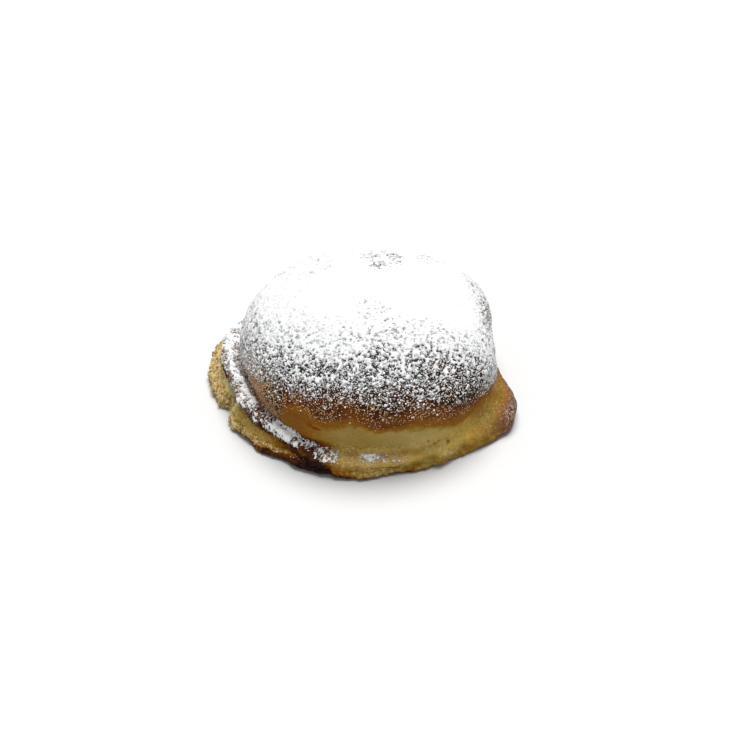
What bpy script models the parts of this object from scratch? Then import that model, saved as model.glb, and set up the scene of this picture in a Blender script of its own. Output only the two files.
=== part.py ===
"""A sfogliatella frolla: a filled shortcrust bun, baked as one piece.

A low dome stands on a thin skirt where the upper and the lower sheet of dough were pressed
together and cut round. The sheets have parted along the left side: the upper one ends in a raised
ridge, the lower one sticks out as a crumbly lip with a notch broken out of it. On the right the
skirt swells into a rounded lobe. The underside is flat.

Sizes are in millimetres and are scaled to metres at the end. A turn is an angle round the pastry
in degrees: 0 is its right side, 90 the back, 180 the left side and 270 the front.
"""

import math

import bmesh
import bpy
from mathutils import Vector, noise

MM = 0.001

# The mesh
SIDES = 144
DOME_RINGS = 12

# The dome
HEIGHT = 39.5
APEX = Vector((1.0, 3.0, 0.0))
DOME_FULLNESS = 2.25
DOME_RADIUS = {3: 40.6, 14: 42.2, 28: 44.0, 45: 43.0, 70: 41.0, 95: 40.2, 130: 40.8, 150: 40.2, 180: 38.7,
               215: 39.0, 245: 41.0, 275: 42.2, 305: 43.2, 325: 43.6, 343: 42.4}
SHOULDER_HEIGHT = {20: 21.5, 90: 21.0, 180: 18.5, 225: 19.5, 270: 22.5, 330: 20.0}

# The waist between dome and skirt
WAIST_RADIUS = {5: 41.8, 30: 41.0, 60: 39.5, 120: 38.5, 155: 39.5, 180: 37.0, 215: 36.0, 240: 37.5,
                270: 39.2, 300: 40.3, 315: 42.3, 340: 43.2}
WAIST_HEIGHT = {5: 10.0, 60: 8.5, 120: 10.0, 165: 11.5, 205: 10.8, 240: 8.8, 280: 8.2, 315: 9.0,
                342: 12.0}

# The lower sheet of dough
FOOT_RADIUS = {5: 43.3, 20: 43.0, 50: 44.5, 90: 45.2, 115: 47.0, 140: 50.8, 153: 54.0, 166: 52.4, 177: 50.4,
               188: 48.8, 199: 46.2, 216: 44.6, 234: 43.0, 262: 42.7, 295: 42.8, 311: 43.7, 326: 47.6,
               345: 49.8, 355: 46.6}
FOOT_INSET = 2.4
LIP_THICKNESS = {100: 3.6, 170: 4.0, 200: 3.6, 225: 3.1, 245: 3.1}
LIP_SLOPE = {100: 2.0, 150: 3.8, 188: 3.6, 203: 1.4, 222: 0.7, 245: 0.8, 300: 1.2}
PRESSED_THICKNESS = 2.7
PRESSED_WIDTH = 2.8
NOTCH_TURN = 194.3
NOTCH_REACH = 5.2
NOTCH_DEPTH = 5.0

# The upper sheet's rim. Its ridge is 1 where the sheets have parted and 0 where they are pressed.
PARTING = {20: 0.0, 70: 0.2, 120: 0.8, 150: 1.0, 225: 1.0, 241: 0.85, 254: 0.0, 300: 0.0, 345: 0.0}
RIDGE_RADIUS = {20: 43.0, 70: 44.5, 115: 45.8, 140: 48.0, 163: 47.4, 182: 45.0, 196: 43.4, 205: 43.4,
                222: 41.3, 240: 40.9, 250: 42.6, 300: 42.8, 345: 49.0}
RIDGE_HEIGHT = {10: 7.5, 60: 7.0, 110: 9.5, 145: 12.8, 185: 12.8, 205: 12.0, 225: 10.2, 245: 8.0,
                265: 6.8, 300: 6.8, 320: 7.0, 345: 8.0}
RIDGE_THICKNESS = 3.4
SEAM_DEPTH = {30: 0.4, 70: 0.8, 245: 0.9, 278: 0.9, 300: 0.3, 340: 0.2}

# Unevenness: how far the crust wanders, and over what length
DOME_WANDER = 0.7
DOME_WANDER_LENGTH = 22.0
RIM_WANDER = 0.8
RIM_WANDER_LENGTH = 7.0


def around(sizes, turn):
    """The size at this turn, on a smooth closed curve through the sizes given round the pastry."""
    turns = sorted(sizes)
    count = len(turns)
    after = next((i for i, known in enumerate(turns) if known > turn), 0)
    places = [(after + step) % count for step in (-2, -1, 0, 1)]
    a, b, c, d = (sizes[turns[place]] for place in places)
    start, end = turns[places[1]], turns[places[2]]
    share = ((turn - start) % 360) / ((end - start) % 360)
    slope_in, slope_out = (c - a) / 2, (d - b) / 2
    return (
        b * (2 * share**3 - 3 * share**2 + 1)
        + slope_in * (share**3 - 2 * share**2 + share)
        + c * (3 * share**2 - 2 * share**3)
        + slope_out * (share**3 - share**2)
    )


def bell(turn, centre, reach):
    """1 at the centre, falling smoothly to 0 at reach degrees on either side."""
    away = abs((turn - centre + 180) % 360 - 180) / reach
    return 0.5 + 0.5 * math.cos(math.pi * min(away, 1.0))


def wander(turn, radius, height, length):
    """Smooth unevenness between about -1 and 1, the same at the same place each time."""
    angle = math.radians(turn)
    place = Vector((radius * math.cos(angle), radius * math.sin(angle), height))
    return 2 * noise.noise(place / length)


def mix(first, second, share):
    return tuple(a + (b - a) * share for a, b in zip(first, second))


def foot_radius(turn):
    notch = NOTCH_DEPTH * bell(turn, NOTCH_TURN, NOTCH_REACH)
    return around(FOOT_RADIUS, turn) - notch


def pressed_rim(turn):
    """The skirt's edge where both sheets are pressed together, with a shallow seam between them."""
    foot, top = foot_radius(turn), around(RIDGE_HEIGHT, turn)
    seam, depth = PRESSED_THICKNESS, around(SEAM_DEPTH, turn)
    inner = max(foot - PRESSED_WIDTH, around(WAIST_RADIUS, turn) + 0.5)
    return [
        (foot - 0.9, 0.25),
        (foot - 0.2, 0.9),
        (foot, 0.6 * seam),
        (foot - 0.2 * depth, seam - 0.35),
        (foot - 0.6 * depth, seam - 0.1),
        (foot - depth, seam + 0.1),
        (foot - 0.8 * depth, seam + 0.4),
        (foot - 0.3 * depth, seam + 0.7),
        (foot, seam + 0.35 * (top - seam)),
        (foot - 0.1, seam + 0.6 * (top - seam)),
        (foot - 0.5, seam + 0.85 * (top - seam)),
        (0.5 * (foot + inner), top),
        (inner, top + 0.3),
    ]


def parted_rim(turn):
    """The crumbly lip of the lower sheet, the bare dough behind it and the upper sheet's ridge."""
    foot, ridge = foot_radius(turn), around(RIDGE_RADIUS, turn)
    lip, slope, top = around(LIP_THICKNESS, turn), around(LIP_SLOPE, turn), around(RIDGE_HEIGHT, turn)
    lip_top = (foot - slope, lip + 0.2 * slope)
    mouth = (min(ridge - 1.6, foot - slope - 1.0), top - RIDGE_THICKNESS - 0.3)
    return [
        (foot - 0.9, 0.25),
        (foot - 0.1, 1.0),
        (foot, 0.5 * lip),
        (foot - 0.35 * slope, 0.85 * lip),
        lip_top,
        mix(lip_top, mouth, 0.35),
        mix(lip_top, mouth, 0.7),
        mouth,
        (ridge - 0.6, top - RIDGE_THICKNESS),
        (ridge, top - 0.6 * RIDGE_THICKNESS),
        (ridge - 0.2, top - 0.25 * RIDGE_THICKNESS),
        (ridge - 1.2, top),
        (ridge - 3.0, top + 0.2),
    ]


def rim(turn):
    """The skirt's edge, ragged on its outside and calmer where it meets the waist."""
    parting = around(PARTING, turn)
    edge = [mix(a, b, parting) for a, b in zip(pressed_rim(turn), parted_rim(turn))]
    ragged = [RIM_WANDER * wander(turn, r, 2 * z, RIM_WANDER_LENGTH) for r, z in edge]
    calm = [min(1.0, (len(edge) - level) / 4) for level in range(len(edge))]
    return [(r + wave * share, z) for (r, z), wave, share in zip(edge, ragged, calm)]


def waist(turn):
    """The hollow behind the ridge and the steep, sheltered wall up to the dome's shoulder."""
    radius, height = around(WAIST_RADIUS, turn), around(WAIST_HEIGHT, turn)
    shoulder = (around(DOME_RADIUS, turn), around(SHOULDER_HEIGHT, turn))
    crest = rim(turn)[-1]
    hollow = (radius, height)
    drop = mix(crest, hollow, 0.6)
    wall = [
        (
            hollow[0] + (shoulder[0] - hollow[0]) * math.sin(share * math.pi / 2) ** 1.3,
            hollow[1] + (shoulder[1] - hollow[1]) * share,
        )
        for share in (0.2, 0.42, 0.64, 0.84)
    ]
    return [drop, (hollow[0] + 0.2, hollow[1])] + wall


def dome(turn):
    """From the shoulder up: a full arch that leans to the apex."""
    radius, height = around(DOME_RADIUS, turn), around(SHOULDER_HEIGHT, turn)
    rings = []
    for ring in range(DOME_RINGS):
        rise = math.pi / 2 * ring / DOME_RINGS
        out = math.cos(rise) ** (2 / DOME_FULLNESS)
        up = math.sin(rise) ** (2 / DOME_FULLNESS)
        rings.append((radius * out, height + (HEIGHT - height) * up))
    return rings


def profile(turn):
    """(distance from the middle, height) of each ring, from the flat underside to the apex."""
    return [(foot_radius(turn) - FOOT_INSET, 0.0)] + rim(turn) + waist(turn) + dome(turn)


def place(turn, radius, height):
    """A point of the crust: the profile's, leaning towards the apex and a little uneven."""
    shoulder = around(SHOULDER_HEIGHT, turn)
    lean = max(0.0, (height - shoulder) / (HEIGHT - shoulder)) ** 2
    rough = DOME_WANDER * wander(turn, radius, height, DOME_WANDER_LENGTH)
    angle = math.radians(turn)
    out = Vector((math.cos(angle), math.sin(angle), 0.0))
    radius += rough * (1 - lean) * min(1.0, height)
    return out * radius + APEX * lean + Vector((0, 0, height + rough * lean))


def pastry_mesh():
    """Rings extruded from one another, closed with a flat underside and a small cap on top."""
    turns = [360 * side / SIDES for side in range(SIDES)]
    profiles = [profile(turn) for turn in turns]
    rings = len(profiles[0])

    bm = bmesh.new()
    number = bm.verts.layers.int.new("side")
    ring = bmesh.ops.create_circle(bm, segments=SIDES, radius=1.0)["verts"]
    bm.verts.ensure_lookup_table()
    for side, vert in enumerate(sorted(ring, key=lambda v: math.atan2(v.co.y, v.co.x) % math.tau)):
        vert[number] = side
    edges = list(bm.edges)
    bmesh.ops.contextual_create(bm, geom=edges)
    for level in range(rings):
        if level:
            grown = bmesh.ops.extrude_edge_only(bm, edges=edges)["geom"]
            ring = [item for item in grown if isinstance(item, bmesh.types.BMVert)]
            edges = [item for item in grown if isinstance(item, bmesh.types.BMEdge)]
        for vert in ring:
            side = vert[number]
            vert.co = place(turns[side], *profiles[side][level])
    cap = bmesh.ops.contextual_create(bm, geom=edges)["faces"]
    middle = bmesh.ops.poke(bm, faces=cap)["verts"][0]
    middle.co.z = max(middle.co.z, max(vert.co.z for vert in ring)) + 0.05
    bm.verts.layers.int.remove(number)

    bmesh.ops.recalc_face_normals(bm, faces=bm.faces)
    lows = [min(vert.co[axis] for vert in bm.verts) for axis in range(3)]
    highs = [max(vert.co[axis] for vert in bm.verts) for axis in range(3)]
    middle_of_base = Vector(((lows[0] + highs[0]) / 2, (lows[1] + highs[1]) / 2, lows[2]))
    bmesh.ops.translate(bm, verts=bm.verts, vec=-middle_of_base)
    bmesh.ops.scale(bm, verts=bm.verts, vec=(MM, MM, MM))
    mesh = bpy.data.meshes.new("pastry")
    bm.to_mesh(mesh)
    bm.free()
    mesh.shade_smooth()
    return mesh


def crust():
    """Golden-brown baked shortcrust."""
    material = bpy.data.materials.new("crust")
    material.use_nodes = True
    shader = material.node_tree.nodes["Principled BSDF"]
    shader.inputs["Base Color"].default_value = (0.42, 0.2, 0.05, 1)
    shader.inputs["Roughness"].default_value = 0.55
    shader.inputs["Metallic"].default_value = 0.0
    return material


def main():
    for old in list(bpy.data.objects):
        bpy.data.objects.remove(old)
    pastry = bpy.data.objects.new("pastry", pastry_mesh())
    pastry.data.materials.append(crust())
    bpy.context.scene.collection.objects.link(pastry)


main()
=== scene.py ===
import math
import random

import bmesh
import bpy
import numpy as np
from mathutils import Matrix, Vector, noise


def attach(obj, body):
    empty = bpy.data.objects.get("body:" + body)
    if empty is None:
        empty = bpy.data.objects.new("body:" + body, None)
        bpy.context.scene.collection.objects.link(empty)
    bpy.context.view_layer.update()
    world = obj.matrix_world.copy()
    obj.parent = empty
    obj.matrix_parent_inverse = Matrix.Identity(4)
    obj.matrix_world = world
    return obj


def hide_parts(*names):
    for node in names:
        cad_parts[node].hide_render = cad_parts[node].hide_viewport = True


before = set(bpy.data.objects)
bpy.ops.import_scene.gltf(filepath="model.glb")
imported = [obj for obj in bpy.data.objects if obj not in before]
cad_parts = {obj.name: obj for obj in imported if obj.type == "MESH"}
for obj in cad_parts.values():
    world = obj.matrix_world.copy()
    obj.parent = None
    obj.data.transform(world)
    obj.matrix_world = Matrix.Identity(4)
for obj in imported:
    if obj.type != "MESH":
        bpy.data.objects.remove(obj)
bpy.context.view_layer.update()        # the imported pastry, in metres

mm = 0.001
noise.seed_set(4)        # or else noise_vector differs from run to run

# A place on the pastry is a turn in degrees round axisPlace, from 0 at the right to 270 at the front,
# and a height in mm. An arc is where it starts, where it ends and how soft its ends are, in degrees.
axisPlace = np.array((0.95, -1.19, 0.0))   # mm


def say(text):
    print("sfogliatella:", text)


def ease(low, high, value):
    share = np.clip((value - low) / (high - low), 0.0, 1.0)
    return share * share * (3.0 - 2.0 * share)


def fade(low, high, value):
    return 1.0 - ease(low, high, value)


def nearTurn(turn, centre, reach):
    away = np.abs((turn - centre + 180.0) % 360.0 - 180.0)
    return fade(0.0, reach, away)


def onArc(turn, arc):
    start, end, soft = arc
    along = (turn - start) % 360.0
    length = (end - start) % 360.0
    inside = ease(0.0, soft, along) * fade(length - soft, length, along)
    return np.where(along < length, inside, 0.0)


def ringValue(values, turn):
    keys = sorted(values)
    return np.interp(turn, keys, [values[key] for key in keys], period=360.0)


def waves(points, kind):
    size, seed = kind        # the size in mm
    shift = Vector((seed, 1.7 * seed, -0.6 * seed))
    return np.array([noise.noise(Vector(point) / size + shift) for point in points]) * 2.0


def pebbles(points, kind):
    size, seed = kind
    shift = Vector((seed, seed, seed))
    return np.array([noise.voronoi(Vector(point) / size + shift)[0][0] for point in points])


def newPiece(name, bm, material=None):
    mesh = bpy.data.meshes.new(name)
    bm.to_mesh(mesh)
    bm.free()
    piece = bpy.data.objects.new(name, mesh)
    bpy.context.scene.collection.objects.link(piece)
    if material:
        mesh.materials.append(material)
    return piece


def setAttribute(mesh, name, values):
    layer = mesh.attributes.new(name, "FLOAT", "POINT")
    layer.data.foreach_set("value", np.asarray(values, dtype=np.float32))


# Materials. A value here is a number, a colour or another node's output.

def feed(tree, value, socket):
    if isinstance(value, bpy.types.NodeSocket):
        tree.links.new(value, socket)
    else:
        socket.default_value = value


def mathNode(tree, operation, *values, clamp=False):
    made = tree.nodes.new("ShaderNodeMath")
    made.operation = operation
    made.use_clamp = clamp
    for socket, value in zip(made.inputs, values):
        feed(tree, value, socket)
    return made.outputs[0]


def mixColour(tree, share, first, second):
    made = tree.nodes.new("ShaderNodeMix")
    made.data_type = "RGBA"
    for number, value in ((0, share), (6, first), (7, second)):   # its factor and two colours
        feed(tree, value, made.inputs[number])
    return made.outputs[2]


def noiseOf(tree, coords, grain):
    size, detail, roughness = grain      # the size in mm
    made = tree.nodes.new("ShaderNodeTexNoise")
    made.inputs["Scale"].default_value = 1.0 / (size * mm)
    made.inputs["Detail"].default_value = detail
    made.inputs["Roughness"].default_value = roughness
    tree.links.new(coords, made.inputs["Vector"])
    return made.outputs["Fac"]


def spread(tree, value, low, high, newLow=0.0, newHigh=1.0):
    made = tree.nodes.new("ShaderNodeMapRange")
    made.interpolation_type = "SMOOTHSTEP"
    parts = {"Value": value, "From Min": low, "From Max": high, "To Min": newLow, "To Max": newHigh}
    for name, part in parts.items():
        feed(tree, part, made.inputs[name])
    return made.outputs["Result"]


def attributeOf(tree, name):
    made = tree.nodes.new("ShaderNodeAttribute")
    made.attribute_name = name
    return made.outputs["Fac"]


def addBump(tree, shader, height, strength, depth):
    bump = tree.nodes.new("ShaderNodeBump")
    bump.inputs["Strength"].default_value = strength
    bump.inputs["Distance"].default_value = depth * mm
    tree.links.new(height, bump.inputs["Height"])
    tree.links.new(bump.outputs["Normal"], shader.inputs["Normal"])


def newMaterial(name, specular):
    material = bpy.data.materials.new(name)
    material.use_nodes = True
    tree = material.node_tree
    shader = tree.nodes["Principled BSDF"]
    shader.inputs["Specular IOR Level"].default_value = specular
    return material, tree, shader


def objectCoords(tree):
    return tree.nodes.new("ShaderNodeTexCoord").outputs["Object"]


def newGroup(name, inputs, output):
    group = bpy.data.node_groups.new(name, "ShaderNodeTree")
    kinds = {"float": "NodeSocketFloat", "vector": "NodeSocketVector", "colour": "NodeSocketColor"}
    for way, sockets in (("INPUT", inputs), ("OUTPUT", output)):
        for label, kind in sockets.items():
            group.interface.new_socket(label, in_out=way, socket_type=kinds[kind])
    return group, group.nodes.new("NodeGroupInput").outputs, group.nodes.new("NodeGroupOutput").inputs


def placeGroup(tree, group, values):
    placed = tree.nodes.new("ShaderNodeGroup")
    placed.node_tree = group
    for name, value in values.items():
        feed(tree, value, placed.inputs[name])
    return placed.outputs[0]


doughTones = (               # by browning, from bare dough to scorched
    (0.00, (0.50, 0.415, 0.215)),
    (0.09, (0.340, 0.256, 0.080)),
    (0.18, (0.288, 0.188, 0.040)),
    (0.30, (0.246, 0.120, 0.012)),
    (0.45, (0.186, 0.068, 0.005)),
    (0.60, (0.150, 0.045, 0.005)),
    (0.80, (0.058, 0.014, 0.003)),
    (1.00, (0.008, 0.005, 0.004)),
)


def makeBakingGroup():
    group, given, wanted = newGroup("bakingColour", {"Bake": "float"}, {"Color": "colour"})
    ramp = group.nodes.new("ShaderNodeValToRGB")
    stops = ramp.color_ramp.elements
    for stop, (place, colour) in zip(stops, (doughTones[0], doughTones[-1])):
        stop.position = place
        stop.color = (*colour, 1)
    for place, colour in doughTones[1:-1]:
        stops.new(place).color = (*colour, 1)
    group.links.new(given["Bake"], ramp.inputs["Fac"])
    group.links.new(ramp.outputs["Color"], wanted["Color"])
    return group


dustingLook = {
    "filling": 5.0,          # how fast a grain grows to its full size as the amount rises
    "reach": 0.46,           # of a place, for a grain of the full size
    "edge": (-0.06, 0.10),
}


def makeDustingGroup():
    # Single grains lying on the crust: Amount is how many of the places have one
    inputs = {"Vector": "vector", "Amount": "float", "Grain Size": "float"}
    group, given, wanted = newGroup("fineDusting", inputs, {"Mask": "float"})
    places = group.nodes.new("ShaderNodeTexVoronoi")
    group.links.new(given["Vector"], places.inputs["Vector"])
    group.links.new(mathNode(group, "DIVIDE", 1.0 / mm, given["Grain Size"]), places.inputs["Scale"])
    dice = group.nodes.new("ShaderNodeSeparateColor")
    group.links.new(places.outputs["Color"], dice.inputs["Color"])
    spare = mathNode(group, "SUBTRACT", given["Amount"], dice.outputs["Red"])
    size = mathNode(group, "MULTIPLY", spare, dustingLook["filling"], clamp=True)
    reach = mathNode(group, "MULTIPLY", size, dustingLook["reach"])
    inside = mathNode(group, "SUBTRACT", reach, places.outputs["Distance"])
    group.links.new(spread(group, inside, *dustingLook["edge"]), wanted["Mask"])
    return group


bakingColour = makeBakingGroup()
fineDusting = makeDustingGroup()


crustLook = {
    # noises: size in mm, detail and roughness
    "blotches": (7.0, 4.0, 0.6),
    "specks": (0.9, 4.0, 0.7),
    "hazeFlecks": (0.9, 3.0, 0.65),
    "pores": (0.8, 4.0, 0.7),
    "mottle": 0.10,
    "speckle": 0.22,
    "crumbSpeckle": 0.85,
    "baked": 0.3,            # the browning from which the crust shows its full mottle and speckle
    "dotColour": (0.77, 0.52, 0.28, 1),
    "dustColour": (0.38, 0.37, 0.36, 1),
    "dotStrength": 0.80,
    "dotSize": 0.40,         # mm, one place for a dot
    "glazeColour": (0.60, 0.40, 0.08, 1),
    # near black: painted shade between the sugar lumps and in the hollow behind the ridge
    "paintedShadeColour": (0.020, 0.020, 0.019, 1),
    "hazeColour": (0.48, 0.38, 0.30, 1),
    "stainColour": (0.20, 0.020, 0.001, 1),
    "roughness": (0.75, 0.55),   # of pale and of dark crust
    "dotRoughness": 0.3,
    "specular": 0.05,
    "poreBump": 0.35,
    "crumbBump": 1.6,
    "dotBump": 0.5,
    "bumpStrength": 0.6,
    "bumpDepth": 0.3,        # mm
}


def makeCrust():
    look = crustLook
    material, tree, shader = newMaterial("bakedCrust", look["specular"])
    coords = objectCoords(tree)
    bake, dots, crumbly = (attributeOf(tree, name) for name in ("bake", "dots", "crumbly"))

    blotches = mathNode(tree, "SUBTRACT", noiseOf(tree, coords, look["blotches"]), 0.5)
    blotches = mathNode(tree, "MULTIPLY", blotches, 2 * look["mottle"])
    blotches = mathNode(tree, "MULTIPLY", blotches, spread(tree, bake, 0.0, look["baked"], 0.25, 1.0))
    speckle = spread(tree, bake, 0.0, look["baked"], 0.03, look["speckle"])
    speckle = mathNode(tree, "MULTIPLY_ADD", crumbly, look["crumbSpeckle"], speckle)
    specks = mathNode(tree, "SUBTRACT", noiseOf(tree, coords, look["specks"]), 0.5)
    specks = mathNode(tree, "MULTIPLY", specks, mathNode(tree, "MULTIPLY", speckle, 2.0))
    browning = mathNode(tree, "ADD", mathNode(tree, "ADD", bake, blotches), specks, clamp=True)

    colour = placeGroup(tree, bakingColour, {"Bake": browning})
    colour = mixColour(tree, attributeOf(tree, "stain"), colour, look["stainColour"])
    colour = mixColour(tree, attributeOf(tree, "glaze"), colour, look["glazeColour"])
    # painted shade: a near-black veil in the gaps of the sugar and in the hollow behind the ridge
    colour = mixColour(tree, attributeOf(tree, "paintedShade"), colour, look["paintedShadeColour"])
    dust = placeGroup(tree, fineDusting, {"Vector": coords, "Amount": dots, "Grain Size": look["dotSize"]})
    dotted = mathNode(tree, "MULTIPLY", dust, look["dotStrength"])
    dotColour = mixColour(tree, attributeOf(tree, "whiten"), look["dotColour"], look["dustColour"])
    colour = mixColour(tree, dotted, colour, dotColour)
    haze = spread(tree, noiseOf(tree, coords, look["hazeFlecks"]), 0.40, 0.66)
    haze = mathNode(tree, "MULTIPLY", haze, attributeOf(tree, "haze"))
    colour = mixColour(tree, haze, colour, look["hazeColour"])
    tree.links.new(colour, shader.inputs["Base Color"])

    roughness = spread(tree, browning, 0.2, 0.9, *look["roughness"])
    dotRoughness = mathNode(tree, "MULTIPLY", dotted, look["dotRoughness"])
    roughness = mathNode(tree, "ADD", roughness, dotRoughness, clamp=True)
    tree.links.new(roughness, shader.inputs["Roughness"])

    depth = mathNode(tree, "MULTIPLY_ADD", crumbly, look["crumbBump"], look["poreBump"])
    height = mathNode(tree, "MULTIPLY", noiseOf(tree, coords, look["pores"]), depth)
    height = mathNode(tree, "ADD", height, mathNode(tree, "MULTIPLY", dust, look["dotBump"]))
    addBump(tree, shader, height, look["bumpStrength"], look["bumpDepth"])
    return material


sugarSkin = {
    "thin": (0.050, 0.049, 0.046, 1),    # where the coat is thin and the crust shows through, darkened further as painted shade in the gaps between the lumps
    "deep": (0.84, 0.85, 0.85, 1),
    "shade": (0.5, 2.0, 0.6),            # noise: size in mm, detail and roughness
    "shadeStrength": 0.9,
    "roughness": 0.95,
    "specular": 0.1,
    "bumpStrength": 0.35,
    "bumpDepth": 0.15,                   # mm
}


def makeSugar():
    look = sugarSkin
    material, tree, shader = newMaterial("icingSugar", look["specular"])
    shade = noiseOf(tree, objectCoords(tree), look["shade"])
    patchy = mathNode(tree, "SUBTRACT", shade, 0.5)
    depth = attributeOf(tree, "depth")
    patchy = mathNode(tree, "MULTIPLY_ADD", patchy, look["shadeStrength"], depth, clamp=True)
    # Low depth gives the near-black end: painted shade between the lumps
    tree.links.new(mixColour(tree, patchy, look["thin"], look["deep"]), shader.inputs["Base Color"])
    shader.inputs["Roughness"].default_value = look["roughness"]
    addBump(tree, shader, shade, look["bumpStrength"], look["bumpDepth"])
    return material


crumbSkin = {
    "tone": (1.2, 3.0, 0.7),     # noise: size in mm, detail and roughness
    "darkest": 0.36,             # browning
    "dusted": 0.80,
    "dustStrength": 0.85,
    "dustSize": 0.5,             # mm
    "roughness": 0.75,
    "specular": 0.2,
}


def makeCrumb():
    look = crumbSkin
    material, tree, shader = newMaterial("goldenCrumb", look["specular"])
    coords = objectCoords(tree)
    tone = spread(tree, noiseOf(tree, coords, look["tone"]), 0.38, 0.75, 0.0, look["darkest"])
    colour = placeGroup(tree, bakingColour, {"Bake": tone})
    values = {"Vector": coords, "Amount": look["dusted"], "Grain Size": look["dustSize"]}
    dust = mathNode(tree, "MULTIPLY", placeGroup(tree, fineDusting, values), look["dustStrength"])
    tree.links.new(mixColour(tree, dust, colour, crustLook["dotColour"]), shader.inputs["Base Color"])
    shader.inputs["Roughness"].default_value = look["roughness"]
    return material


# The crust: first the measures that all the painting and roughening goes by

ringShape = {   # by turn, all in mm except parted
    # the solid's own skirt
    "foot": {5: 43.3, 20: 43.0, 50: 44.5, 90: 45.2, 115: 47.0, 140: 50.8, 153: 54.0, 166: 52.4,
             177: 50.4, 188: 48.8, 199: 46.2, 216: 44.6, 234: 43.0, 262: 42.7, 295: 42.8, 311: 43.7,
             326: 47.6, 345: 49.8, 355: 46.6},
    "ridgeRadius": {20: 43.0, 70: 44.5, 115: 45.8, 140: 48.0, 163: 47.4, 182: 45.0, 196: 43.4, 205: 43.4,
                    222: 41.3, 240: 40.9, 250: 42.6, 300: 42.8, 345: 49.0},
    "ridgeHeight": {10: 7.5, 60: 7.0, 110: 9.5, 145: 12.8, 185: 12.8, 205: 12.0, 225: 10.2, 245: 8.0,
                    265: 6.8, 300: 6.8, 320: 7.0, 345: 8.0},
    "waistHeight": {5: 10.0, 60: 8.5, 120: 10.0, 165: 11.5, 205: 10.8, 240: 8.8, 280: 8.2, 315: 9.0,
                    342: 12.0},
    "parted": {20: 0.0, 70: 0.2, 120: 0.8, 150: 1.0, 225: 1.0, 241: 0.85, 254: 0.0},   # 1 where fully so
    # the crumbly lip, then the bare dough above it
    "edgeLow": {150: 0.0, 197: 0.0, 203: 0.8, 210: 1.9, 220: 2.3, 230: 2.8, 238: 3.4},
    "edgeHigh": {150: 6.2, 165: 6.3, 178: 6.0, 188: 5.0, 199: 4.6, 204: 4.2, 214: 3.9, 224: 3.8,
                 232: 4.2, 240: 4.4},
    "doughHigh": {150: 8.6, 172: 7.8, 182: 7.4, 192: 8.0, 203: 8.4, 210: 7.6, 218: 6.6, 228: 5.8,
                  236: 5.0},
    "scorchHigh": {222: 0.0, 229: 1.0, 235: 1.6, 240: 2.6, 244: 5.2, 247: 7.2, 251: 7.2, 254: 5.4,
                   258: 3.0, 263: 1.4, 275: 0.8, 300: 0.8, 310: 0.0},
    # the sugar on the ridge lies between these
    "stripLow": {55: 5.5, 110: 8.0, 150: 11.4, 176: 11.2, 185: 11.0, 192: 10.4, 202: 10.4, 207: 9.4,
                 212: 11.0, 217: 7.4, 222: 6.9, 228: 6.9, 233: 7.4, 238: 8.0, 246: 7.7, 252: 6.2,
                 270: 5.9, 290: 5.2},
    "stripHigh": {55: 9.0, 110: 11.6, 145: 15.0, 185: 15.0, 205: 13.2, 214: 12.4, 222: 11.3, 230: 11.7,
                  237: 11.8, 242: 10.2, 246: 9.7, 250: 8.8, 258: 8.4, 270: 7.9, 279: 7.0, 290: 6.4},
    # the sugar on the dome ends here
    "domeFoot": {5: 11.6, 25: 11.0, 60: 11.0, 120: 12.6, 140: 13.6, 190: 13.8, 200: 16.0, 208: 21.0,
                 310: 21.0, 320: 18.0, 330: 15.4, 345: 13.0},
}


def meshPoints(mesh):
    points = np.empty(len(mesh.vertices) * 3)
    normals = np.empty(len(mesh.vertices) * 3)
    mesh.vertices.foreach_get("co", points)
    mesh.vertex_normals.foreach_get("vector", normals)
    return points.reshape(-1, 3) / mm, normals.reshape(-1, 3)


def measure(mesh):
    points, normals = meshPoints(mesh)
    local = points - axisPlace
    turn = np.degrees(np.arctan2(local[:, 1], local[:, 0])) % 360.0
    where = {key: ringValue(values, turn) for key, values in ringShape.items()}
    where.update(points=points, normals=normals, turn=turn, height=points[:, 2])
    where["radius"] = np.hypot(local[:, 0], local[:, 1])
    where["fromRidge"] = where["radius"] - where["ridgeRadius"]
    return where


# A noise here and below is its size in mm and its seed
skirtWobble = (2.4, 6.6)


def skirtZones(where):
    # How much each point belongs to the foot, the crumbly lip, the bare dough above it and the ridge
    height = where["height"]
    wavy = height + 0.35 * waves(where["points"], skirtWobble)
    outside = ease(-5.2, -3.6, where["fromRidge"])
    onSkirt = where["parted"] * outside
    pastFoot = ease(-0.5, 0.3, wavy - where["edgeLow"])
    pastLip = ease(-0.4, 0.5, wavy - where["edgeHigh"])
    pastDough = ease(-0.3, 0.4, wavy - where["doughHigh"])
    onTop = ease(-1.6, -0.6, height - where["ridgeHeight"])
    skirt = fade(where["waistHeight"] + 0.5, where["waistHeight"] + 3.0, height)
    return {
        "skirt": skirt,
        "foot": onSkirt * (1.0 - pastFoot),
        "lip": onSkirt * pastFoot * (1.0 - pastLip),
        "bare": onSkirt * pastLip * (1.0 - pastDough),
        "ridgeEdge": onSkirt * pastDough * (1.0 - onTop) * skirt,
        "ridgeTop": onTop * outside * skirt,
    }


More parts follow.
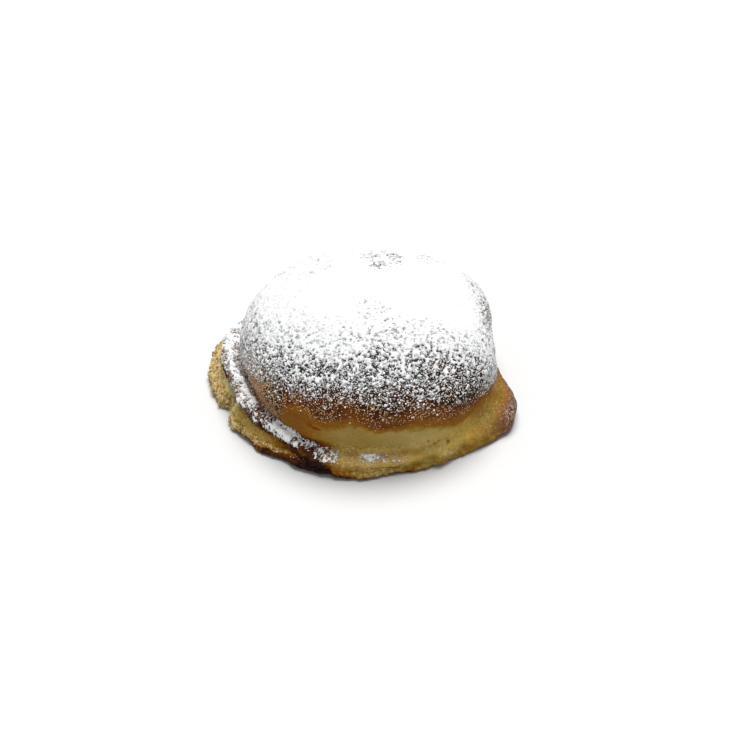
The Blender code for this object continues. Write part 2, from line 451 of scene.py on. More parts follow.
bakeLook = {
    # noises
    "drift": (9.0, 3.1),
    "ragged": (3.2, 5.7),
    "finelyRagged": (1.1, 2.9),
    # tones: 0 bare dough, 1 scorched
    "amber": 0.42,
    "brown": 0.64,
    "dome": 0.93,
    # mm by turn, where the brown of the shoulder ends and how wide the amber below it is
    "brownEnds": {20: 19.0, 90: 17.0, 145: 10.0, 215: 9.0, 229: 11.0, 233: 20.0, 238: 22.6, 245: 22.8,
                  250: 21.6, 255: 21.6, 260: 22.4, 264: 23.6, 268: 22.0, 272: 19.8, 278: 19.2, 285: 20.2,
                  292: 21.6, 301: 19.8, 308: 17.6, 316: 16.6, 325: 15.6, 335: 14.4, 341: 14.6,
                  350: 14.0},
    "amberWidth": {200: 3.0, 236: 9.0, 246: 5.6, 256: 4.4, 264: 3.6, 270: 2.6, 282: 2.8, 292: 4.0,
                   300: 4.6, 308: 5.4, 316: 5.0, 325: 4.4, 335: 2.6},
    "darkBand": {"arc": (228.0, 264.0, 8.0), "tone": 0.12},      # extra brown low on the shoulder
    "darkCorner": {"turn": 318.0, "reach": 24.0, "tone": 0.14},
    "groove": {"arc": (140.0, 226.0, 10.0), "tone": 0.58, "paleArc": (140.0, 190.0, 16.0), "paler": 0.10},
    # the pale belt where the dome turns under, and the golden rim that begins below it
    "beltTone": {20: 0.28, 90: 0.25, 165: 0.55, 220: 0.56, 230: 0.46, 240: 0.41, 250: 0.29, 260: 0.17,
                 270: 0.17, 280: 0.13, 290: 0.08, 300: 0.09, 310: 0.12, 318: 0.17, 326: 0.24, 345: 0.24},
    "rimStarts": {20: 10.0, 200: 9.0, 240: 12.0, 250: 9.4, 262: 9.4, 274: 9.6, 284: 9.6, 290: 8.6,
                  297: 7.0, 303: 4.8, 310: 3.2, 316: 5.6, 324: 8.6, 332: 10.5, 345: 12.0},
    "rimTone": {20: 0.26, 150: 0.62, 215: 0.66, 240: 0.55, 250: 0.46, 258: 0.31, 266: 0.22, 276: 0.16,
                284: 0.16, 291: 0.22, 300: 0.24, 310: 0.18, 320: 0.25, 330: 0.28, 345: 0.26},
    "darkRidge": (150.0, 258.0, 10.0),
    "ridgeTop": 0.80,
    "ridgeEdge": 0.88,
    "foot": 0.78,
    "lip": 0.11,
    "lipBrowned": ((234.0, 14.0, 0.12), (242.0, 8.0, 0.55)),     # turn, reach and extra tone
    "dough": 0.02,
    "doughBrowned": (200.0, 245.0, 6.0),
    "scorch": {"arc": (222.0, 310.0, 6.0), "tone": 0.97},
    "lobe": {"arc": (326.0, 14.0, 14.0), "tone": 0.84},          # the purple edge at the right
    "seam": {"arc": (254.0, 286.0, 4.0), "tone": 0.22, "height": {254: 4.6, 266: 4.3, 277: 4.1, 286: 3.0}},
    # browning of faces that point down, as under the ridge: painted shade
    "underside": 0.50,
    "nicks": 0.60,
}


def paintBaking(where, zones):
    look = bakeLook
    turn, height, points = where["turn"], where["height"], where["points"]
    drift = waves(points, look["drift"])
    ragged = waves(points, look["ragged"]) + 0.6 * waves(points, look["finelyRagged"])

    # Brown on the shoulder, then amber, then the pale belt
    over = height - ringValue(look["brownEnds"], turn) + 0.5 * drift + 0.75 * ragged
    bake = look["amber"] + (look["brown"] - look["amber"]) * ease(-0.9, 0.7, over)
    bake += (look["dome"] - look["brown"]) * ease(2.0, 8.0, over)
    band = look["darkBand"]
    bake += band["tone"] * onArc(turn, band["arc"]) * ease(-0.2, 1.6, over) * fade(3.0, 5.0, over)
    corner = look["darkCorner"]
    near = nearTurn(turn, corner["turn"], corner["reach"])
    bake += corner["tone"] * near * ease(0.5, 3.5, over) * fade(6.0, 9.0, over)
    groove = look["groove"]
    grooveTone = groove["tone"] - groove["paler"] * onArc(turn, groove["paleArc"])
    bake += (grooveTone - bake) * onArc(turn, groove["arc"]) * fade(19.0, 27.0, height)
    width = ringValue(look["amberWidth"], turn)
    bake += (ringValue(look["beltTone"], turn) - bake) * fade(-1.25 * width, -0.45 * width, over)
    rimTone = ringValue(look["rimTone"], turn) + 0.05 * drift + 0.04 * ragged
    bake += (rimTone - bake) * fade(-1.3, 0.9, height - ringValue(look["rimStarts"], turn) + 0.35 * ragged)

    # The ridge, the lip, the bare dough and the foot
    dark = onArc(turn, look["darkRidge"])
    bake += (look["ridgeTop"] - bake) * zones["ridgeTop"] * dark
    lipTone = look["lip"]
    for centre, reach, more in look["lipBrowned"]:
        lipTone = lipTone + more * nearTurn(turn, centre, reach)
    bake += (lipTone - bake) * zones["lip"]
    doughTone = look["dough"] + 0.15 * onArc(turn, look["doughBrowned"])
    doughTone = doughTone + 0.30 * nearTurn(turn, 236.0, 13.0)
    bake += (doughTone - bake) * zones["bare"]
    bake += (look["ridgeEdge"] + 0.08 * ragged - bake) * zones["ridgeEdge"] * dark
    bake += (look["foot"] + 0.10 * ragged - bake) * zones["foot"]

    scorch = fade(-1.2, 0.9, height - where["scorchHigh"] + 0.8 * ragged)
    scorch = scorch * onArc(turn, look["scorch"]["arc"])
    bake += (look["scorch"]["tone"] - bake) * scorch
    atEdge = ease(-4.4, 0.2, where["radius"] - where["foot"] + 0.4 * drift)
    purple = onArc(turn, look["lobe"]["arc"]) * atEdge * fade(7.0, 9.8, height)
    bake += (look["lobe"]["tone"] - bake) * purple
    seamAway = np.abs(height - ringValue(look["seam"]["height"], turn) + 0.25 * ragged)
    seam = onArc(turn, look["seam"]["arc"]) * fade(0.1, 0.55, seamAway)
    bake += look["seam"]["tone"] * seam
    # Faces that point down, as under the ridge, take a mid brown: painted shade
    facingDown = where["normals"][:, 2] < -0.9
    bake = np.where(facingDown, look["underside"] + 0.12 * drift, bake)
    return np.clip(bake, 0.0, 1.0), purple, seam


sugarLook = {
    # noises
    "patches": (6.0, 8.3),
    "flecks": (2.4, 12.5),
    "streaks": (2.0, 21.4),
    # mm by turn: the height where half of the crust is covered, and how slowly the cover changes there
    "halfway": {5: 16.0, 25: 20.0, 60: 24.0, 100: 24.0, 150: 17.4, 175: 16.2, 185: 19.8, 192: 25.6,
                200: 27.4, 208: 28.2, 215: 30.0, 225: 30.6, 235: 31.3, 245: 31.9, 255: 33.5, 265: 34.1,
                275: 34.5, 285: 34.2, 295: 33.8, 300: 33.0, 308: 32.6, 315: 32.0, 325: 29.6, 335: 24.6,
                345: 15.8},
    "fading": {5: 5.0, 90: 5.0, 175: 6.5, 190: 5.0, 200: 4.0, 220: 3.3, 270: 3.2, 300: 4.2, 320: 4.0,
               335: 5.5, 350: 5.0},
    "cover": {-3.6: 0.0, -2.6: 0.06, -2.0: 0.13, -1.4: 0.23, -1.0: 0.32, -0.6: 0.42, -0.3: 0.50,
              0.0: 0.58, 0.4: 0.75, 0.8: 0.90, 1.2: 0.95, 1.6: 0.99, 2.1: 1.09, 3.0: 1.40},
    # where in x and y, reach and how much cover is missing
    "thinSpots": (((7.5, 20.0), 10.0, 0.84), ((39.0, 12.0), 11.0, 0.56), ((-14.0, 17.0), 11.0, 0.32),
                  ((22.0, 22.0), 9.0, 0.40)),
    # the steep walls hold less: arc, most cover, and the heights over which that limit goes
    "rightWall": {"arc": (325.0, 30.0, 10.0), "most": 0.94, "unevenness": 0.12, "goes": (29.0, 35.0)},
    "leftWall": {"arc": (100.0, 200.0, 16.0), "most": 0.52, "unevenness": 0.10, "goes": (21.0, 29.0)},
    "leftStreaks": 0.75,
    "rightFoot": {"arc": (347.0, 26.0, 10.0), "missing": 0.62, "goes": (26.0, 30.0)},
    # the share of the ridge, and of the hollow behind it, that is covered
    "ridge": {30: 0.0, 60: 0.4, 120: 0.75, 150: 0.76, 165: 0.74, 176: 0.68, 192: 0.76, 203: 0.84,
              209: 0.84, 212: 0.66, 215: 0.16, 221: 0.14, 224: 0.80, 228: 0.95, 237: 0.98, 242: 0.78,
              248: 0.54, 254: 0.50, 259: 0.34, 262: 0.10, 268: 0.08, 271: 0.90, 276: 0.60, 279: 0.24,
              287: 0.10, 291: 0.0, 310: 0.0},
    "outerRidge": (160.0, 209.0, 10.0),
    "outerRidgeEnd": (178.0, 206.0, 8.0),
    "hollow": {60: 0.0, 110: 0.5, 150: 0.78, 170: 0.60, 182: 0.34, 192: 0.14, 204: 0.08, 215: 0.0},
    # the coats
    "voxel": 0.355,          # mm
    "rounds": 5,             # of smoothing
    "thickness": 0.34,       # mm
    "sunk": 0.30,            # mm
    "lumps": (1.10, 6.1),
    "fineLumps": (0.55, 7.7),
    "drifts": (2.4, 15.2),
    "grain": 0.42,
    "seed": 5,
    "wall": 1.3,             # mm, how far a coat reaches down into the crust
}


def limitOnWall(cover, where, wall, flecks, streaks=0.0):
    most = wall["most"] + wall["unevenness"] * flecks + 0.7 * ease(*wall["goes"], where["height"]) + streaks
    return cover + (np.minimum(cover, most) - cover) * onArc(where["turn"], wall["arc"])


def coverDome(where, patches, flecks):
    # Sifted from above, so it thins down the front and stays off the steep sides
    look = sugarLook
    turn, height, points = where["turn"], where["height"], where["points"]
    steps = sorted(look["cover"])
    covers = [look["cover"][step] for step in steps]
    above = height - ringValue(look["halfway"], turn) + 0.6 * patches + 0.8 * flecks
    cover = np.interp(above / ringValue(look["fading"], turn), steps, covers)
    for (x, y), reach, missing in look["thinSpots"]:
        away = np.hypot(points[:, 0] - x, 0.75 * (points[:, 1] - y))
        cover -= missing * fade(0.15 * reach, reach, away) * (height > 18.0) * (0.8 + 0.5 * patches)
    cover = np.clip(cover, 0.0, 1.4)
    start = height - where["domeFoot"]
    cover = np.minimum(cover, 1.1 * ease(0.0, 3.4, start) + 4.0 * ease(2.4, 5.0, start))
    cover = limitOnWall(cover, where, look["rightWall"], flecks)
    streaks = np.zeros(len(points))
    beside = np.nonzero(onArc(turn, look["leftWall"]["arc"]) * (height < 30.0))[0]
    streaks[beside] = look["leftStreaks"] * waves(points[beside] * (1.0, 1.0, 0.3), look["streaks"])
    cover = limitOnWall(cover, where, look["leftWall"], flecks, streaks)
    foot = look["rightFoot"]
    missing = foot["missing"] * onArc(turn, foot["arc"]) * fade(*foot["goes"], height + 0.9 * flecks)
    return cover * (1.0 - missing)


def coverRidge(where, patches, flecks):
    # The strip along the ridge, and what has gathered in the hollow behind it
    look = sugarLook
    turn, height, fromRidge = where["turn"], where["height"], where["fromRidge"]
    uneven = 0.5 * flecks
    strip = ease(-0.3, 0.7, height - where["stripLow"] + 0.4 * flecks)
    strip *= fade(-0.6, 0.5, height - where["stripHigh"] + uneven)
    strip *= ease(-5.0, -3.8, fromRidge + uneven) * ease(-0.5, 0.1, where["normals"][:, 2])
    outer = ease(-2.6, -1.4, fromRidge + uneven) * onArc(turn, look["outerRidge"])
    strip *= 1.0 - (0.42 + 0.42 * onArc(turn, look["outerRidgeEnd"])) * outer
    hollow = ease(-3.4, -4.6, fromRidge) * ease(10.8, 11.6, height) * fade(14.4, 15.4, height)
    hollow *= ringValue(look["hollow"], turn)
    held = ringValue(look["ridge"], turn)
    cover = (held + (0.14 * patches + 0.32 * flecks) * ease(0.0, 0.12, held)) * strip
    return np.maximum(cover, hollow * (1.0 + 0.4 * flecks)), strip


dustLook = {    # the share of the places that have a grain, from arc to arc
    "shoulder": 0.46,
    "belt": 0.06,
    "left": {"arc": (150.0, 232.0, 8.0), "more": 0.55},
    "leftBelowDome": (150.0, 225.0, 8.0),
    "right": {"arc": (302.0, 345.0, 10.0), "less": 0.45},
    "brownFront": {"arc": (226.0, 264.0, 8.0), "more": 0.20},
    "amberFront": {"arc": (284.0, 326.0, 12.0), "more": 0.12},
    "lobe": {"arc": (318.0, 20.0, 12.0), "least": 0.20},
    "lobeBand": {"arc": (332.0, 342.0, 4.0), "least": 0.62},
    "strip": {"arc": (60.0, 291.0, 4.0), "least": 0.45},
    "ridgeEdge": 0.35,
    "lip": 0.78,
    "scorch": {"arc": (228.0, 262.0, 6.0), "less": 0.8},
    "ledge": {"arc": (256.0, 292.0, 6.0), "least": 0.88},
}


def paintDots(where, zones, cover, strip, flecks):
    look = dustLook
    turn, height = where["turn"], where["height"]
    shoulder = height - ringValue(bakeLook["brownEnds"], turn) + 0.8 * flecks
    dots = (look["shoulder"] - 0.12 * ease(0.1, 0.4, cover)) * ease(-2.6, 4.0, shoulder)
    dots += look["belt"] * ease(-9.0, -3.0, shoulder)
    dots += look["left"]["more"] * onArc(turn, look["left"]["arc"]) * (1.0 - 0.6 * ease(22.0, 28.0, height))
    dome = ease(0.5, 2.0, height - where["waistHeight"])
    dots *= np.maximum(dome, onArc(turn, look["leftBelowDome"])) * fade(0.45, 0.75, cover)
    dots *= 1.0 - look["right"]["less"] * onArc(turn, look["right"]["arc"]) * ease(0.05, 0.3, cover)
    band = ease(-3.0, -0.6, shoulder) * fade(2.0, 4.5, shoulder)
    dots += look["brownFront"]["more"] * onArc(turn, look["brownFront"]["arc"]) * band
    band = ease(-4.2, -1.8, shoulder) * fade(1.0, 3.5, shoulder)
    dots += look["amberFront"]["more"] * onArc(turn, look["amberFront"]["arc"]) * band
    lobe = onArc(turn, look["lobe"]["arc"]) * (1.0 - dome)
    dots = np.maximum(dots, look["lobe"]["least"] * lobe * (height > 2.0))
    band = onArc(turn, look["lobeBand"]["arc"]) * ease(4.4, 5.6, height) * fade(6.8, 8.0, height)
    dots = np.maximum(dots, look["lobeBand"]["least"] * band)
    onStrip = look["strip"]["least"] * strip * onArc(turn, look["strip"]["arc"])
    dots = np.maximum(dots * (1.0 - zones["bare"]), onStrip)
    dots = np.maximum(dots, look["ridgeEdge"] * zones["ridgeEdge"])
    dots = np.maximum(dots, look["lip"] * zones["lip"])
    dots *= 1.0 - look["scorch"]["less"] * onArc(turn, look["scorch"]["arc"]) * fade(4.6, 6.0, height)
    ledge = onArc(turn, look["ledge"]["arc"]) * fade(7.4, 8.6, height) * ease(3.6, 5.4, height)
    dots = np.maximum(dots, look["ledge"]["least"] * ledge)
    return np.clip(dots, 0.0, 1.0)


def paintSugar(where, zones):
    patches = waves(where["points"], sugarLook["patches"])
    flecks = waves(where["points"], sugarLook["flecks"])
    onDome = coverDome(where, patches, flecks)
    onRidge, strip = coverRidge(where, patches, flecks)
    return np.maximum(onDome, onRidge), paintDots(where, zones, onDome, strip, flecks)


def gridCopy(voxel, rounds):
    # The solid as an even grid of small faces, with its facets smoothed over
    bm = bmesh.new()
    bm.from_mesh(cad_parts["pastry"].data)
    bmesh.ops.remove_doubles(bm, verts=bm.verts, dist=0.002 * mm)
    rough = newPiece("roughCopy", bm)
    soft = rough.modifiers.new("soften", "SUBSURF")
    soft.levels = soft.render_levels = 1
    grid = rough.modifiers.new("grid", "REMESH")
    grid.mode = "VOXEL"
    grid.voxel_size = voxel * mm
    graph = bpy.context.evaluated_depsgraph_get()
    mesh = bpy.data.meshes.new_from_object(rough.evaluated_get(graph))
    bpy.data.objects.remove(rough)
    bm = bmesh.new()
    bm.from_mesh(mesh)
    for _ in range(rounds):
        bmesh.ops.smooth_vert(bm, verts=bm.verts, factor=0.5,
                              use_axis_x=True, use_axis_y=True, use_axis_z=True)
    bm.to_mesh(mesh)
    bm.free()
    return mesh


def movePoints(mesh, places):
    mesh.vertices.foreach_set("co", (places * mm).ravel())
    mesh.update()


crustShape = {
    "voxel": 0.465,          # mm
    "rounds": 4,             # of smoothing
    # noises
    "swells": (4.5, 1.3),
    "bumps": (2.6, 2.2),
    "fineBumps": (1.3, 4.4),
    "grit": (1.5, 9.9),
    "fineGrit": (0.75, 3.3),
    "pebbles": (1.9, 0.4),
    # how high the relief stands, in mm
    "domeWaves": 0.16,
    "rimRoughness": 0.30,
    "lipGrit": 0.42,
    "lobeSwell": 0.8,
    "nickDepth": 0.30,
    "seamDepth": 0.20,
    "calmArc": (312.0, 25.0, 10.0),      # smoother here
    "crumblyArc": (250.0, 292.0, 8.0),
    "swellArc": (328.0, 346.0, 8.0),
    # small marks: turn, height, half width and half height in mm
    "fleck": ((247.6, 17.0, 1.7, 0.45), (249.6, 16.3, 1.7, 0.5), (246.6, 18.0, 0.9, 0.35)),
    "nicks": ((298.5, 9.8, 0.45, 0.3), (301.6, 8.4, 0.7, 0.3), (303.2, 8.9, 0.55, 0.3),
              (307.6, 7.6, 0.5, 0.35)),
}


def markMask(where, marks):
    made = np.zeros(len(where["turn"]))
    for turn, height, halfWidth, halfHeight in marks:
        along = np.radians(where["turn"] - turn) * where["radius"] / halfWidth
        away = np.hypot(along, (where["height"] - height) / halfHeight)
        made = np.maximum(made, fade(0.6, 1.3, away))
    return made


def crustRelief(where, zones):
    # How far the surface stands off the solid, in mm, and how crumbly it is. The sugar follows it too.
    shape = crustShape
    points, skirt, turn = where["points"], zones["skirt"], where["turn"]
    calm = 1.0 - 0.75 * onArc(turn, shape["calmArc"])
    push = shape["domeWaves"] * waves(points, shape["swells"])
    bumps = waves(points, shape["bumps"]) + 0.6 * waves(points, shape["fineBumps"])
    push += shape["rimRoughness"] * calm * skirt * bumps
    crumbly = zones["lip"] + 0.3 * zones["foot"] + 0.35 * zones["ridgeEdge"] + 0.22 * skirt
    crumbly += 0.3 * skirt * onArc(turn, shape["crumblyArc"])
    crumbly = np.clip(crumbly, 0.0, 1.0)
    chosen = np.nonzero(crumbly > 0.25)[0]
    grit = np.zeros(len(points))
    grit[chosen] = 0.6 * waves(points[chosen], shape["grit"])
    grit[chosen] += 0.6 * waves(points[chosen], shape["fineGrit"])
    grit[chosen] += 0.5 * (0.5 - pebbles(points[chosen], shape["pebbles"]))
    push += shape["lipGrit"] * grit * crumbly * calm
    return push, crumbly


veilLook = {    # thin veils over the crust, one of them painted shade: the arcs they lie on and how strong they are
    "paintedShade": 0.90,                        # dark grey painted shade, under the edge of the sugar between its lumps
    "lobeShadeArc": (318.0, 20.0, 10.0),
    "paintedShadeOnLobe": 0.22,
    "paintedShadeInHollow": 0.54,
    "hollow": (130.0, 206.0, 12.0),
    "noPaintedShadeOnSides": (330.0, 206.0, 12.0),
    "noPaintedShadeAtRight": (296.0, 345.0, 14.0),
    "whiten": 0.85,                      # from golden dots to grey ones
    "warmArcs": ((190.0, 226.0, 8.0), (300.0, 345.0, 10.0)),
    "whitenRidge": 0.8,
    "whiteRidge": (60.0, 256.0, 4.0),
    "frontArc": (254.0, 300.0, 8.0),
    "beltArc": (286.0, 330.0, 12.0),
    "frontGlaze": 0.50,
    "beltGlaze": 0.26,
    "leftArc": (136.0, 222.0, 14.0),
    "rightArc": (336.0, 30.0, 12.0),
    "purpleHaze": 0.55,
    "leftHaze": 0.46,
    "frontHaze": 0.12,
    "rightHaze": 0.92,
}


def paintVeils(where, zones, cover, purple):
    look = veilLook
    turn, height, skirt = where["turn"], where["height"], zones["skirt"]
    lobe = onArc(turn, look["lobeShadeArc"]) * skirt
    sides = onArc(turn, look["noPaintedShadeOnSides"]) * fade(24.0, 30.0, height)
    hollow = onArc(turn, look["hollow"]) * ease(9.6, 10.6, height)
    # Painted shade: a near-black veil on the crust between the sugar lumps, in the hollow behind the ridge
    # and a little on the lobe
    paintedShade = look["paintedShade"] * ease(0.14, 0.52, cover) * (1.0 - skirt) * (1.0 - 0.85 * sides)
    paintedShade *= 1.0 - 0.95 * onArc(turn, look["noPaintedShadeAtRight"]) * fade(0.50, 0.85, cover)
    paintedShade = np.maximum(paintedShade, np.maximum(look["paintedShadeOnLobe"] * lobe, look["paintedShadeInHollow"] * hollow * skirt))

    warm = np.maximum(*(onArc(turn, arc) for arc in look["warmArcs"]))
    whiten = (look["whiten"] - 0.6 * warm) * ease(0.03, 0.28, cover) * (1.0 - skirt * (1.0 - hollow))
    ridge = (zones["ridgeTop"] + zones["ridgeEdge"]) * onArc(turn, look["whiteRidge"])

    front = onArc(turn, look["frontArc"]) * fade(8.4, 9.8, height) * ease(3.0, 5.0, height)
    belt = onArc(turn, look["beltArc"]) * ease(4.0, 7.0, height) * fade(11.5, 14.0, height)
    left = onArc(turn, look["leftArc"]) * ease(9.0, 11.0, height) * fade(22.0, 28.0, height)
    for zone in ("bare", "ridgeTop", "ridgeEdge"):
        left = left * (1.0 - zones[zone])
    right = onArc(turn, look["rightArc"]) * ease(11.0, 13.0, height) * fade(29.0, 32.0, height)
    haze = np.maximum(look["purpleHaze"] * purple, look["leftHaze"] * left)
    haze = np.maximum(haze, look["frontHaze"] * front)
    return {
        "paintedShade": paintedShade,
        "whiten": np.maximum(whiten, look["whitenRidge"] * ridge),
        "glaze": np.maximum(look["frontGlaze"] * front, look["beltGlaze"] * belt),
        "haze": np.maximum(haze, look["rightHaze"] * right),
    }


def makeCrustPiece(material):
    shape = crustShape
    mesh = gridCopy(shape["voxel"], shape["rounds"])
    where = measure(mesh)
    zones = skirtZones(where)
    height = where["height"]
    cover, dots = paintSugar(where, zones)
    bake, purple, seam = paintBaking(where, zones)

    push, crumbly = crustRelief(where, zones)
    swell = onArc(where["turn"], shape["swellArc"]) * fade(6.0, 9.0, height) * ease(0.6, 2.0, height)
    push += shape["lobeSwell"] * swell
    nicks = markMask(where, shape["nicks"])
    push -= shape["nickDepth"] * nicks + shape["seamDepth"] * seam
    bake += (bakeLook["nicks"] - bake) * nicks
    push *= ease(0.0, 1.2, height)                  # the underside stays flat
    moved = where["points"] + where["normals"] * push[:, None]
    moved[:, 2] = np.where(height < 0.06, 0.0, np.maximum(moved[:, 2], 0.0))
    movePoints(mesh, moved)

    painted = {"bake": bake, "dots": dots, "crumbly": crumbly, "stain": markMask(where, shape["fleck"])}
    painted.update(paintVeils(where, zones, cover, purple))
    for name, values in painted.items():
        setAttribute(mesh, name, values)

    bm = bmesh.new()
    bm.from_mesh(mesh)
    bpy.data.meshes.remove(mesh)
    under = [face for face in bm.faces if all(vert.co.z == 0.0 for vert in face.verts)]
    bmesh.ops.dissolve_faces(bm, faces=under, use_verts=False)
    say(f"crust of {sum(len(face.verts) - 2 for face in bm.faces)} triangles")
    crust = newPiece("crust", bm, material)
    crust.data.shade_smooth()
    return crust


def lumpOrder(points, cover, kept):
    # The rank of each point by how high its lump stands, so that cover becomes the share with sugar on it
    look = sugarLook
    sparse = fade(0.45, 0.85, cover)
    lumps = (0.8 + 0.2 * sparse) * waves(points, look["lumps"])
    lumps += 0.75 * waves(points, look["fineLumps"])
    lumps += (0.10 + 0.50 * sparse) * waves(points, look["drifts"])
    lumps += look["grain"] * np.random.default_rng(look["seed"]).standard_normal(len(points))
    return np.interp(lumps, np.sort(lumps[kept]), np.linspace(0.0, 1.0, kept.sum()))


def sugarDepth(where, cover, over, onRidge):
    # From 0, thin enough for the crust to show through and dark with painted shade between the lumps, to 1
    depth = np.clip(0.25 + 2.0 * over, 0.0, 0.25) + 0.75 * (1.0 - (1.0 - np.clip(over, 0.0, 1.0)) ** 3.0)
    if onRidge:
        turn = where["turn"]
        least = 0.55 + 0.35 * ease(206.0, 216.0, turn) + 0.1 * ease(248.0, 256.0, turn)
        return np.maximum(depth, least * ease(-0.06, 0.02, over))
    depth *= 1.0 - 0.24 * ease(0.3, 0.75, cover) * (1.0 - 0.6 * ease(36.5, 38.5, where["height"]))
    return np.maximum(depth, 0.54 * ease(0.93, 1.16, cover))


def makeSugarCoat(name, material, onRidge):
    # The sifted sugar as one thin closed shell: it sinks into the crust wherever there is none
    look = sugarLook
    mesh = gridCopy(look["voxel"], look["rounds"])
    where = measure(mesh)
    zones = skirtZones(where)
    normals, height, turn = where["normals"], where["height"], where["turn"]
    if onRidge:
        kept = (where["radius"] > where["ridgeRadius"] - 9.0) & (height > where["stripLow"] - 0.7)
        kept &= (height < where["stripHigh"] + 0.7) & (turn > 55.0) & (turn < 293.0)
    else:
        kept = height > where["domeFoot"]
    cover, _ = paintSugar(where, zones)
    relief, _ = crustRelief(where, zones)

    order = lumpOrder(where["points"], cover, kept)
    over = order - (1.0 - cover)
    inGaps = (0.25 if onRidge else 0.88) * ease(0.74, 0.92, cover)      # a breath of it between the lumps, near black there as painted shade
    lying = np.maximum(ease(-0.05, 0.10, over), inGaps)
    rise = look["thickness"] * (0.30 + 0.55 * ease(0.0, 0.5, over) + 0.45 * order)
    push = relief - look["sunk"] + lying * (look["sunk"] + rise)
    movePoints(mesh, where["points"] + normals * push[:, None])
    setAttribute(mesh, "kept", kept)
    setAttribute(mesh, "depth", sugarDepth(where, cover, over, onRidge))
    lean = mesh.attributes.new("lean", "FLOAT_VECTOR", "POINT")
    lean.data.foreach_set("vector", normals.astype(np.float32).ravel())

    bm = bmesh.new()
    bm.from_mesh(mesh)
    bpy.data.meshes.remove(mesh)
    keep, lean = bm.verts.layers.float["kept"], bm.verts.layers.float_vector["lean"]
    bmesh.ops.delete(bm, geom=[vert for vert in bm.verts if vert[keep] < 0.5], context="VERTS")
    bmesh.ops.delete(bm, geom=[vert for vert in bm.verts if not vert.link_faces], context="VERTS")
    if onRidge:      # an underside of its own, within the ridge
        made = bmesh.ops.extrude_face_region(bm, geom=bm.faces, use_keep_orig=True)["geom"]
    else:
        rim = [line for line in bm.edges if line.is_boundary]
        made = bmesh.ops.extrude_edge_only(bm, edges=rim)["geom"]
    for vert in (part for part in made if isinstance(part, bmesh.types.BMVert)):
        vert.co -= vert[lean] * look["wall"] * mm
    if not onRidge:
        bmesh.ops.triangle_fill(bm, use_beauty=True, use_dissolve=False, normal=(0.0, 0.0, -1.0),
                                edges=[line for line in bm.edges if line.is_boundary])
    bmesh.ops.recalc_face_normals(bm, faces=bm.faces)
    triangles = sum(len(face.verts) - 2 for face in bm.faces)
    say(f"{name}: {triangles} triangles, {sum(line.is_boundary for line in bm.edges)} open edges")
    coat = newPiece(name, bm, material)
    coat.data.shade_smooth()
    return coat


# Loose sugar and crumbs. Sizes are radii in mm, flat is the height over the width, and sunk is the share
# of the size that lies in the crust.

clumpLook = {"shape": "ball", "sizes": (0.16, 0.38), "flat": 0.65, "sunk": 0.1, "depth": 0.85,
             "count": 2800, "seed": 11}
grainLook = {"shape": "cube", "sizes": (0.11, 0.20), "flat": 0.65, "sunk": 0.1, "depth": 0.70,
             "count": 11000, "seed": 12}
crumbLook = {"shape": "cube", "sizes": (0.16, 0.46), "flat": 0.8, "sunk": 0.6, "count": 420, "seed": 13}
scatterLook = {
    "onDots": 0.10,          # how densely grains lie here, beside 1 where the sugar thins out
    "onLip": 0.12,
    "onLedge": 0.05,
    "ledge": (254.0, 290.0, 6.0),
    "noCrumbs": (230.0, 270.0, 6.0),
    "handful": 240,          # made at a time and then joined, which is quicker
}


def scatterSpots(mesh, density, count, seed):
    # Points on the crust, chosen by area and by how dense the scatter is there
    mesh.calc_loop_triangles()
    corners = np.empty(len(mesh.loop_triangles) * 3, dtype=np.int32)
    mesh.loop_triangles.foreach_get("vertices", corners)
    corners = corners.reshape(-1, 3)
    points, normals = meshPoints(mesh)
    a, b, c = (points[corners[:, i]] for i in range(3))
    area = np.linalg.norm(np.cross(b - a, c - a), axis=1)
    weight = area * density[corners].mean(axis=1)
    maker = np.random.default_rng(seed)
    chosen = maker.choice(len(corners), size=count, p=weight / weight.sum())
    first, second = maker.random(count), maker.random(count)
    flip = first + second > 1.0
    first[flip], second[flip] = 1.0 - first[flip], 1.0 - second[flip]
    spots = a[chosen] + (b - a)[chosen] * first[:, None] + (c - a)[chosen] * second[:, None]
    leans = normals[corners[chosen]].mean(axis=1)
    return spots, leans


def addGrain(bm, spot, lean, look, dice):
    smallest, largest = look["sizes"]
    size = smallest + (largest - smallest) * dice.random() ** 2
    upright = Vector(lean).to_track_quat("Z", "Y").to_matrix().to_4x4()
    spin = Matrix.Rotation(dice.uniform(0, math.tau), 4, "Z")
    spin = spin @ Matrix.Rotation(dice.uniform(-0.5, 0.5), 4, "X")
    wide, long = dice.uniform(0.75, 1.25), dice.uniform(0.75, 1.25)
    squash = Matrix.Diagonal((wide, long, look["flat"] * dice.uniform(0.8, 1.2), 1))
    place = Vector(spot) + Vector(lean) * size * (look["flat"] - look["sunk"])
    matrix = Matrix.Translation(place * mm) @ upright @ spin @ squash
    if look["shape"] == "ball":
        bmesh.ops.create_icosphere(bm, subdivisions=1, radius=size * mm, matrix=matrix)
    else:
        bmesh.ops.create_cube(bm, size=1.6 * size * mm, matrix=matrix)


def scatterPiece(name, material, crust, density, look):
    spots, leans = scatterSpots(crust.data, density, look["count"], look["seed"])
    dice = random.Random(look["seed"])
    joined = bmesh.new()
    for start in range(0, len(spots), scatterLook["handful"]):
        batch = slice(start, start + scatterLook["handful"])
        handful = bmesh.new()
        for spot, lean in zip(spots[batch], leans[batch]):
            addGrain(handful, spot, lean, look, dice)
        mesh = bpy.data.meshes.new("handful")
        handful.to_mesh(mesh)
        handful.free()
        joined.from_mesh(mesh)
        bpy.data.meshes.remove(mesh)
    for vert in joined.verts:
        jitter = noise.noise_vector(vert.co / (0.45 * mm))
        vert.co += jitter * 0.16 * look["sizes"][1] * mm
    piece = newPiece(name, joined, material)
    piece.data.shade_smooth()
    if "depth" in look:
        setAttribute(piece.data, "depth", np.full(len(piece.data.vertices), look["depth"]))
    say(f"{name}: {len(spots)} grains")
    return piece


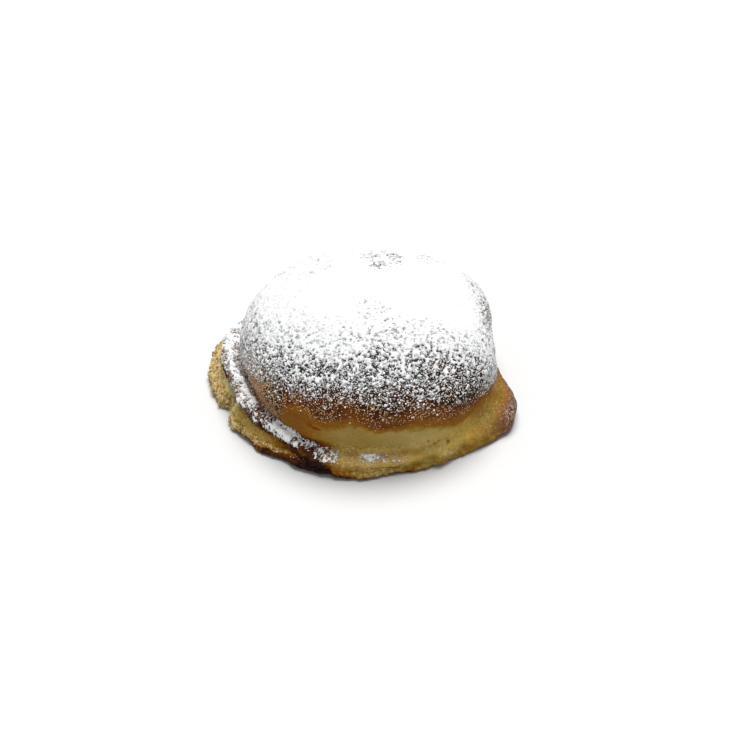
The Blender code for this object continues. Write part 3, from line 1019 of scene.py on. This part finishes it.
def main():
    say("materials")
    crustMaterial, sugarMaterial, crumbMaterial = makeCrust(), makeSugar(), makeCrumb()

    say("crust")
    crust = makeCrustPiece(crustMaterial)
    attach(crust, "root")
    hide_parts("pastry")

    say("sugar")
    domeCoat = makeSugarCoat("sugarOnDome", sugarMaterial, False)
    ridgeCoat = makeSugarCoat("sugarOnRidge", sugarMaterial, True)
    where = measure(crust.data)
    zones = skirtZones(where)
    turn, height, skirt = where["turn"], where["height"], zones["skirt"]
    cover, dots = paintSugar(where, zones)
    partly = np.clip(4.0 * cover * (1.0 - cover), 0.0, 1.0)
    clumps = scatterPiece("sugarClumps", sugarMaterial, crust, partly, clumpLook)
    thinly = ease(0.04, 0.36, cover) * fade(0.6, 0.9, cover)
    nearDome = (height > where["domeFoot"] - 3.0) * (1.0 - skirt)
    thinly += scatterLook["onDots"] * dots * (cover < 0.5) * nearDome
    thinly += scatterLook["onLip"] * zones["lip"] * (where["normals"][:, 2] > 0.1)
    thinly += scatterLook["onLedge"] * skirt * onArc(turn, scatterLook["ledge"]) * ease(3.0, 5.0, height)
    grains = scatterPiece("sugarGrains", sugarMaterial, crust, thinly, grainLook)
    for piece in (domeCoat, ridgeCoat, clumps, grains):
        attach(piece, "root")

    say("crumbs")
    onLip = zones["lip"] * (height > 1.0) * (1.0 - onArc(turn, scatterLook["noCrumbs"]))
    crumbs = scatterPiece("lipCrumbs", crumbMaterial, crust, onLip, crumbLook)
    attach(crumbs, "root")

    say("floor, lights and camera")
    makeStudio()


studioLook = {
    "floor": 0.56,
    "floorSize": 8.0,        # m, half of its width
    "world": 0.48,
    "overhead": 4.35,
    "softness": 42.0,        # degrees the overhead light is wide
    "lean": (0.06, 0.18),    # how far it leans to the right and to the back
    "lens": 85.0,
    "sensor": 36.0,
    "distance": 0.5634,      # m
    "elevation": 38.0,
    "aim": (0.0021, 0.00445, 0.0057),
}


def makeStudio():
    look = studioLook
    scene = bpy.context.scene
    card, _, shader = newMaterial("whiteCard", 0.0)
    shader.inputs["Base Color"].default_value = (look["floor"],) * 3 + (1,)
    shader.inputs["Roughness"].default_value = 1.0
    plane = bmesh.new()
    bmesh.ops.create_grid(plane, x_segments=1, y_segments=1, size=look["floorSize"])
    newPiece("floor", plane, card)

    scene.world = bpy.data.worlds.new("softRoom")
    scene.world.use_nodes = True
    back = scene.world.node_tree.nodes["Background"]
    back.inputs["Color"].default_value = (1.0, 1.0, 1.0, 1)
    back.inputs["Strength"].default_value = look["world"]

    lamp = bpy.data.objects.new("overhead", bpy.data.lights.new("overhead", "SUN"))
    lamp.data.energy = look["overhead"]
    lamp.data.angle = math.radians(look["softness"])
    lamp.location = (0.0, 0.0, 0.5)
    lamp.rotation_euler = Vector((*look["lean"], 1.0)).to_track_quat("Z", "Y").to_euler()
    scene.collection.objects.link(lamp)

    camera = bpy.data.objects.new("camera", bpy.data.cameras.new("camera"))
    camera.data.lens = look["lens"]
    camera.data.sensor_width = look["sensor"]
    tilt = math.radians(look["elevation"])
    away = Vector((0.0, -math.cos(tilt), math.sin(tilt)))
    camera.location = Vector(look["aim"]) + look["distance"] * away
    camera.rotation_euler = (math.pi / 2 - tilt, 0.0, 0.0)
    scene.collection.objects.link(camera)
    scene.camera = camera
    scene.view_settings.view_transform = "Standard"


main()
